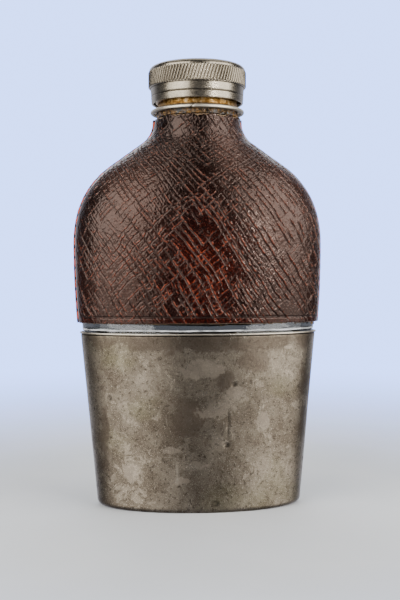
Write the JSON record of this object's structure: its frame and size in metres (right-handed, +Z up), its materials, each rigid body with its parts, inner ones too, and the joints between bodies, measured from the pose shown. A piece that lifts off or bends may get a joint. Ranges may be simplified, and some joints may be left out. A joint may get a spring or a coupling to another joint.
{
  "type": "hip flask",
  "caption": "Flat oval glass hip flask with a sewn leather cover, a slip-on metal drinking cup and a knurled screw cap.",
  "frame": {"origin": "centre of the cup's underside, where the flask stands", "axes": "+Z up along the neck's axis, X across the flask's width, and Y through its depth with the front face at -Y"},
  "size_m": [0.0754, 0.0368, 0.1322],
  "materials": {
    "pewter": "satin",
    "nickel": "satin",
    "bottle_glass": "gloss",
    "cover_leather": "satin",
    "skiver": "matte",
    "thread": "matte",
    "cement": "matte",
    "cork": "matte"
  },
  "bodies": {
    "cup": {"cup_wall": "pewter", "cup_base": "pewter", "cup_rim_wire": "pewter"},
    "flask": {"glass_bottle": "bottle_glass", "lining_front": "skiver", "lining_back": "skiver", "leather_front": "cover_leather", "leather_back": "cover_leather", "seam_stitches_left": "thread", "seam_stitches_right": "thread", "neck_cement": "cement", "neck_collar": "nickel", "collar_bead": "nickel"},
    "cork": {"cork_seal": "cork"},
    "cap": {"cap_seal_plate": "nickel", "cap_sleeve": "nickel", "cap_crown": "nickel"}
  },
  "joints": [
    {"name": "flask_lift", "type": "slide", "parent": "cup", "child": "flask", "axis": [0, 0, 1], "range_m": [0, 0.06]},
    {"name": "cap_rise", "type": "slide", "parent": "flask", "child": "cork", "axis": [0, 0, 1], "range_m": [0, 0.0245]},
    {"name": "cap_turn", "type": "hinge", "parent": "cork", "child": "cap", "pos_m": [0, 0, 0.125], "axis": [0, 0, 1], "range_deg": [0, 2880]}
  ],
  "couplings": [
    {"joint": "cap_rise", "follows": "cap_turn", "m_per_rad": 0.00047746}
  ]
}
